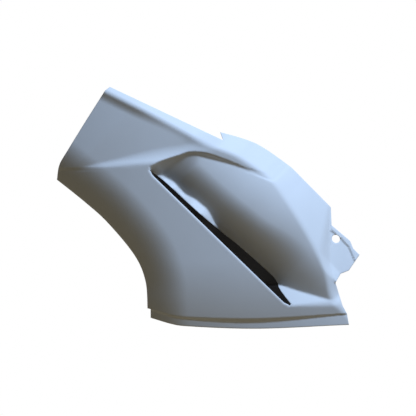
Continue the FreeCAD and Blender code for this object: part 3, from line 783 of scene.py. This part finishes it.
# %% Bare moulded ABS
def black_abs_and_duct_shade():
    # Grained black ABS swallows most light and gives the eye a dull, soft sheen.
    material, tree = new_material("black_abs_with_painted_duct_shade")
    place = add_node(tree, "ShaderNodeTexCoord").outputs["Object"]
    # A mould's grain is about 0.3 mm across; it is drawn coarser here so that it shows.
    grain_mm = 1.6
    grain = add_node(
        tree, "ShaderNodeTexNoise", {"Vector": place, "Scale": 1 / (grain_mm * MM), "Detail": 3.0}
    )
    # Both blacks are darker than bare ABS would be: in the duct they are painted shade for the slot.
    tone = add_node(
        tree,
        "ShaderNodeMix",
        {0: grain.outputs["Fac"], 6: linear("#110E0C"), 7: linear("#1A1613")},
        data_type="RGBA",
    )
    bump = add_node(
        tree, "ShaderNodeBump", {"Height": grain.outputs["Fac"], "Strength": 0.15, "Distance": 0.1 * MM}
    )
    shader = add_node(
        tree,
        "ShaderNodeBsdfPrincipled",
        {
            "Base Color": tone.outputs[2],
            "Roughness": 0.62,
            "Specular IOR Level": 0.2,
            "Normal": bump.outputs["Normal"],
        },
    )
    add_node(tree, "ShaderNodeOutputMaterial", {"Surface": shader.outputs["BSDF"]})
    return material


for finish in (paint, black_abs_and_duct_shade()):
    panel.data.materials.append(finish)
print("finishes", [finish.name for finish in panel.data.materials])
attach(panel, "root")
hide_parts(NODE)

# %% [markdown]
# ## Camera
# The camera stands level and far off with a long lens, so the panel is seen square from its side with
# almost no perspective. An orthographic camera would do as well here, but a lens also suits the other
# views.

# %% Camera
PIXELS = 416
MM_PER_PIXEL = 1.75
HOLE_PIXEL = (336.4, 239.0)
CAMERA_REACH = 9.0
SKIN_Y = -0.035
SENSOR = 36.0
camera_data = bpy.data.cameras.new("camera")
camera_data.sensor_width = SENSOR
camera_data.lens = SENSOR * CAMERA_REACH / (PIXELS * MM_PER_PIXEL * MM)
camera_data.clip_end = 100.0
camera = bpy.data.objects.new("camera", camera_data)
centre_x = (PIXELS / 2 - HOLE_PIXEL[0]) * MM_PER_PIXEL * MM
centre_z = (HOLE_PIXEL[1] - PIXELS / 2) * MM_PER_PIXEL * MM
camera.location = (centre_x, SKIN_Y - CAMERA_REACH, centre_z)
camera.rotation_euler = (math.radians(90), 0, 0)
bpy.context.scene.collection.objects.link(camera)
bpy.context.scene.camera = camera
bpy.context.scene.view_settings.view_transform = "Standard"
print("lens mm", round(camera_data.lens, 1))

# %% [markdown]
# ## Light
# A broad cool lamp stands high on the right, as a window would, and a dim warm dome fills the rest. A
# window is so wide that it reaches round the bulge to the lobes. One lamp of this size can't, so its own
# shadows are left off, and the dome's soft ones remain.

# %% Light
KEY_FROM = Vector((0.45, -0.385, 0.81)).normalized()
KEY_REACH = 2.2


def seen_directly(tree):
    """1 for rays that should meet plain white: camera, glossy and transmission rays."""
    path = add_node(tree, "ShaderNodeLightPath")
    seen = path.outputs["Is Camera Ray"]
    for ray in ("Is Glossy Ray", "Is Transmission Ray"):
        either = add_node(tree, "ShaderNodeMath", {0: seen, 1: path.outputs[ray]}, operation="MAXIMUM")
        seen = either.outputs[0]
    return seen


def studio_world():
    world = bpy.data.worlds.new("studio")
    world.use_nodes = True
    tree = world.node_tree
    tree.nodes.clear()
    ray = add_node(tree, "ShaderNodeTexCoord").outputs["Generated"]
    toward = add_node(tree, "ShaderNodeVectorMath", {0: ray, 1: KEY_FROM}, operation="DOT_PRODUCT")
    height = add_node(tree, "ShaderNodeMapRange", {"Value": toward.outputs["Value"], "From Min": -1.0})
    ramp = add_node(tree, "ShaderNodeValToRGB", {"Fac": height.outputs["Result"]})
    stops = ((0.0, "#2C2820"), (0.4, "#3A352A"), (0.7, "#48463F"), (1.0, "#585A5C"))
    for i, (spot, colour) in enumerate(stops):
        stop = ramp.color_ramp.elements[i] if i < 2 else ramp.color_ramp.elements.new(spot)
        stop.position = spot
        stop.color = linear(colour)
    dome = add_node(tree, "ShaderNodeBackground", {"Color": ramp.outputs["Color"], "Strength": 1.0})
    white = add_node(tree, "ShaderNodeBackground", {"Color": (1, 1, 1, 1), "Strength": 1.0})
    seen = seen_directly(tree)
    both = add_node(tree, "ShaderNodeMixShader", {0: seen, 1: dome.outputs[0], 2: white.outputs[0]})
    add_node(tree, "ShaderNodeOutputWorld", {"Surface": both.outputs[0]})
    bpy.context.scene.world = world


studio_world()
key_data = bpy.data.lights.new("key_softbox", "AREA")
key_data.shape = "DISK"
key_data.size = 1.3
key_data.energy = 88.0
key_data.color = linear("#C2DBFF")[:3]
key_data.use_shadow = False
key = bpy.data.objects.new("key_softbox", key_data)
key.location = Vector((centre_x, SKIN_Y, centre_z)) + KEY_FROM * KEY_REACH
key.rotation_euler = KEY_FROM.to_track_quat("Z", "Y").to_euler()
bpy.context.scene.collection.objects.link(key)
print("lamp at", [round(v, 3) for v in key.location])

# %% [markdown]
# ## Floor
# A plain pale floor lies well below the panel and sends a little warm light up to it. To the camera it
# glows enough to meet the white backdrop without an edge. A lamp of its own, which lights nothing else,
# gives it the panel's soft shadow.

# %% Floor
FLOOR_HALF, FLOOR_DROP, FLOOR_GLOW = 1.5, 0.9, 0.5


def pale_floor():
    material, tree = new_material("pale_floor")
    matt = add_node(tree, "ShaderNodeBsdfDiffuse", {"Color": linear("#B6A98A")})
    pale = add_node(tree, "ShaderNodeBsdfDiffuse", {"Color": linear("#F4F4F4")})
    glow = add_node(tree, "ShaderNodeEmission", {"Color": (1, 1, 1, 1), "Strength": FLOOR_GLOW})
    white = add_node(tree, "ShaderNodeAddShader", {0: pale.outputs[0], 1: glow.outputs[0]})
    seen = seen_directly(tree)
    both = add_node(tree, "ShaderNodeMixShader", {0: seen, 1: matt.outputs[0], 2: white.outputs[0]})
    add_node(tree, "ShaderNodeOutputMaterial", {"Surface": both.outputs[0]})
    corners = [(x * FLOOR_HALF, y * FLOOR_HALF, -FLOOR_DROP) for x, y in ((-1, -1), (1, -1), (1, 1), (-1, 1))]
    mesh = bpy.data.meshes.new("floor")
    mesh.from_pydata(corners, [], [(0, 1, 2, 3)])
    mesh.materials.append(material)
    floor = bpy.data.objects.new("floor", mesh)
    bpy.context.scene.collection.objects.link(floor)
    return floor


def link_light(lamp, piece, state):
    """Let the lamp light the piece alone (INCLUDE), or all but the piece (EXCLUDE)."""
    receivers = bpy.data.collections.new(lamp.name + "_receivers")
    receivers.objects.link(piece)
    receivers.collection_objects[0].light_linking.link_state = state
    lamp.light_linking.receiver_collection = receivers


floor = pale_floor()
floor_data = bpy.data.lights.new("floor_lamp", "SUN")
floor_data.energy = 2.1
floor_data.angle = math.radians(20)
floor_lamp = bpy.data.objects.new("floor_lamp", floor_data)
floor_lamp.rotation_euler = KEY_FROM.to_track_quat("Z", "Y").to_euler()
bpy.context.scene.collection.objects.link(floor_lamp)
link_light(floor_lamp, floor, "INCLUDE")
link_light(key, floor, "EXCLUDE")
print("floor m below the hole", FLOOR_DROP)
